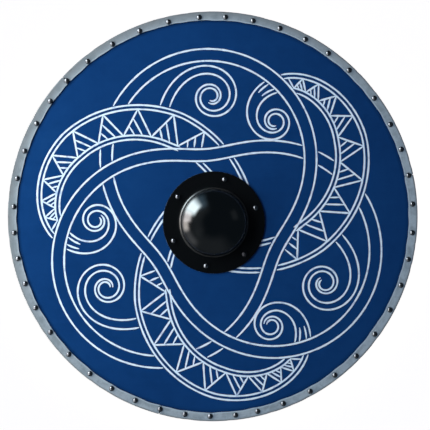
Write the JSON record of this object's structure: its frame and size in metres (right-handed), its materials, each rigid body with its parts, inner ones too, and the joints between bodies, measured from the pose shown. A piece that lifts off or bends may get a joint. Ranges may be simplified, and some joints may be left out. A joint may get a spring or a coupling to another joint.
{
  "type": "wooden round shield",
  "caption": "Flat round wooden shield with a domed steel boss, a folded steel rim held by domed nails and a wooden grip bar across the back.",
  "frame": {"origin": "on the floor, at the centre of the bounding box's bottom, under the middle of the rim circle; z = 0 is the back face of the grip bar", "axes": "+Z out of the painted front, through the board's thickness; +Y towards the top of the shield as the picture shows it, along the grip bar; +X to the right as seen from the front"},
  "size_m": [0.61, 0.61, 0.06],
  "materials": {
    "painted_wood": "satin blue paint on plywood, with pale painted lines; bare at the back",
    "rim_steel": "dull plain sheet steel, slightly dented",
    "boss_black": "gloss black",
    "nail_black": "gloss black domed heads",
    "bare_wood": "oiled, worn smooth by the hand"
  },
  "bodies": {
    "root": {"board": "painted_wood", "rim_strip_1": "rim_steel", "rim_strip_2": "rim_steel", "rim_strip_3": "rim_steel", "boss": "boss_black", "rim_nail_01": "nail_black", "rim_nail_02": "nail_black", "rim_nail_03": "nail_black", "rim_nail_04": "nail_black", "rim_nail_05": "nail_black", "rim_nail_06": "nail_black", "rim_nail_07": "nail_black", "rim_nail_08": "nail_black", "rim_nail_09": "nail_black", "rim_nail_10": "nail_black", "rim_nail_11": "nail_black", "rim_nail_12": "nail_black", "rim_nail_13": "nail_black", "rim_nail_14": "nail_black", "rim_nail_15": "nail_black", "rim_nail_16": "nail_black", "rim_nail_17": "nail_black", "rim_nail_18": "nail_black", "rim_nail_19": "nail_black", "rim_nail_20": "nail_black", "rim_nail_21": "nail_black", "rim_nail_22": "nail_black", "rim_nail_23": "nail_black", "rim_nail_24": "nail_black", "rim_nail_25": "nail_black", "rim_nail_26": "nail_black", "rim_nail_27": "nail_black", "rim_nail_28": "nail_black", "rim_nail_29": "nail_black", "rim_nail_30": "nail_black", "rim_nail_31": "nail_black", "rim_nail_32": "nail_black", "rim_nail_33": "nail_black", "rim_nail_34": "nail_black", "rim_nail_35": "nail_black", "rim_nail_36": "nail_black", "rim_nail_37": "nail_black", "rim_nail_38": "nail_black", "rim_nail_39": "nail_black", "rim_nail_40": "nail_black", "rim_nail_41": "nail_black", "rim_nail_42": "nail_black", "rim_nail_43": "nail_black", "rim_nail_44": "nail_black", "rim_nail_45": "nail_black", "boss_nail_01": "nail_black", "boss_nail_02": "nail_black", "boss_nail_03": "nail_black", "boss_nail_04": "nail_black", "boss_nail_05": "nail_black", "boss_nail_06": "nail_black", "grip_screw_01": "nail_black", "grip_screw_02": "nail_black", "grip_bar": "bare_wood"}
  },
  "joints": []
}
